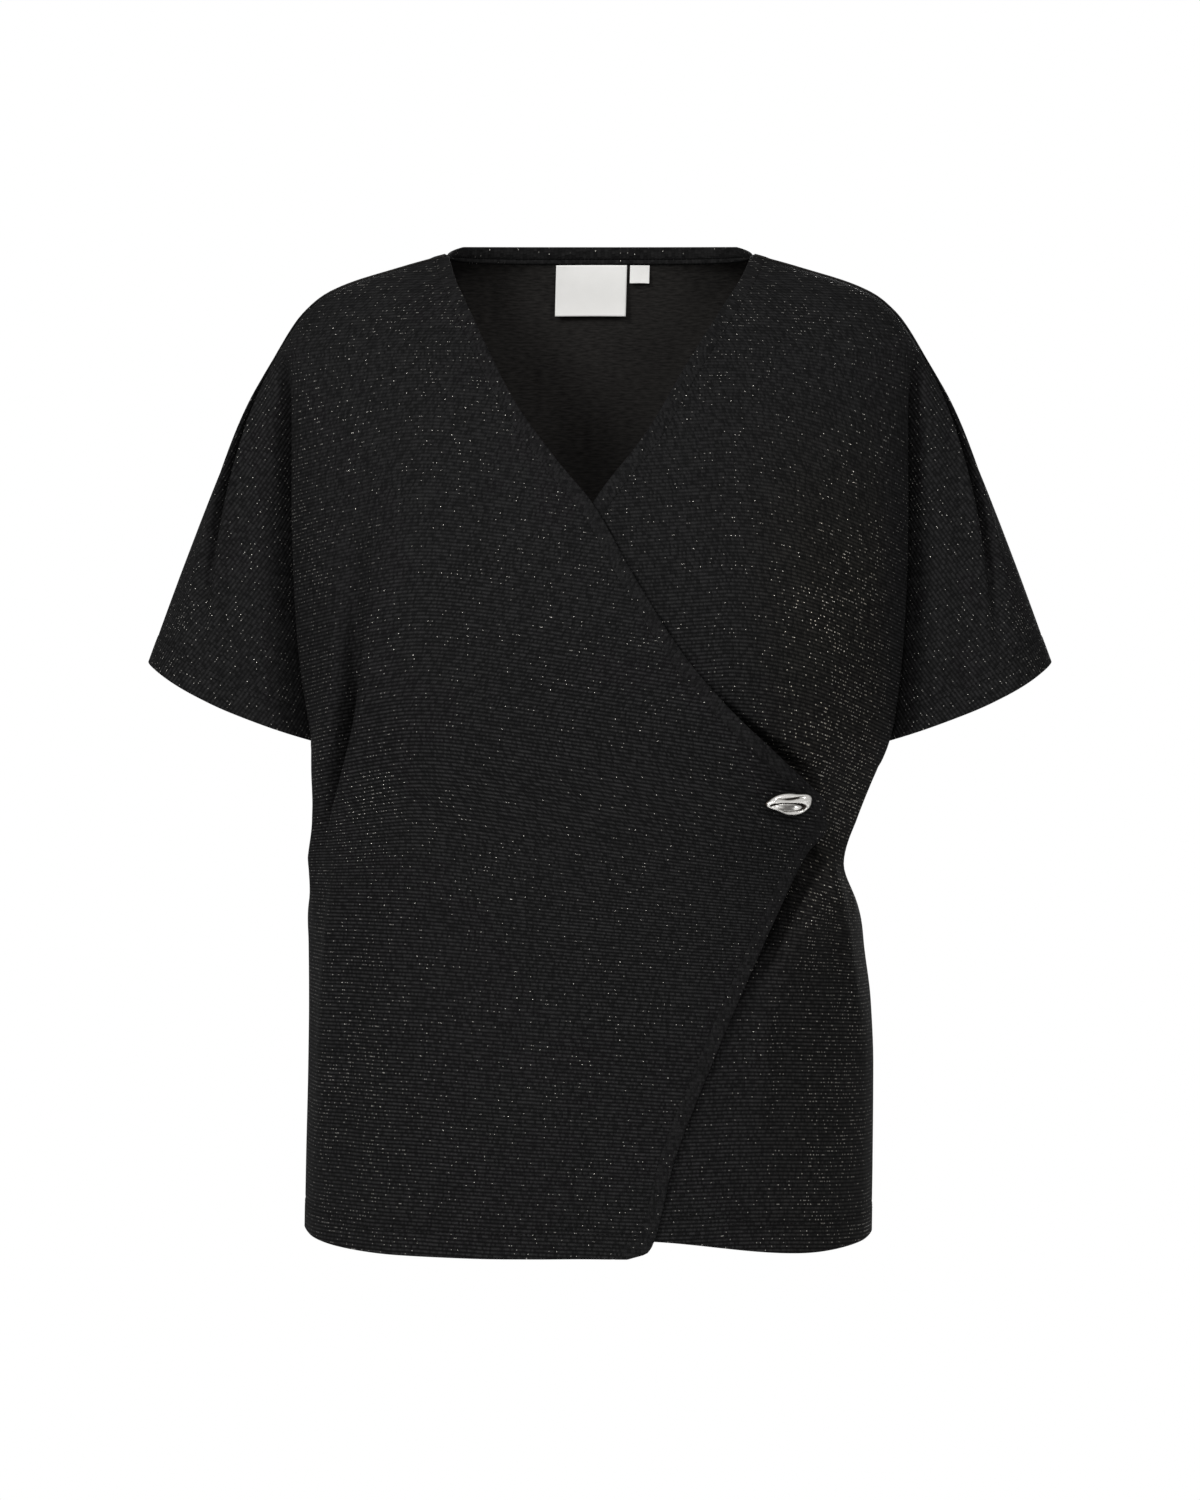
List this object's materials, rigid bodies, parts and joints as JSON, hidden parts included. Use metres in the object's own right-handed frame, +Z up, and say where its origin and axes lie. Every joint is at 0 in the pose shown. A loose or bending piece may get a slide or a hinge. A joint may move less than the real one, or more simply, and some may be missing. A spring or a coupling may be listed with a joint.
{
  "type": "wrap top",
  "caption": "Hollow short-sleeved wrap top in glitter knit, crossed at the front and closed at the side with a cast metal button.",
  "frame": {"origin": "Midway between the shoulder seams' neck ends, level with the top of the shoulders, where the wearer's shoulders hold the top up.", "axes": "+Z up, -Y towards the front of the wearer, +X towards the wearer's left."},
  "size_m": [0.632, 0.2727, 0.6999],
  "materials": {
    "knit": "black fine-ribbed knit with silver glitter thread",
    "label": "plain white woven tape, blank",
    "metal": "silver, hammered and polished"
  },
  "bodies": {
    "root": {"back": "knit", "front_outer": "knit", "front_inner": "knit", "neck_band": "knit", "neck_label": "label", "size_tag": "label", "button": "metal", "button_shank": "metal"}
  },
  "joints": []
}
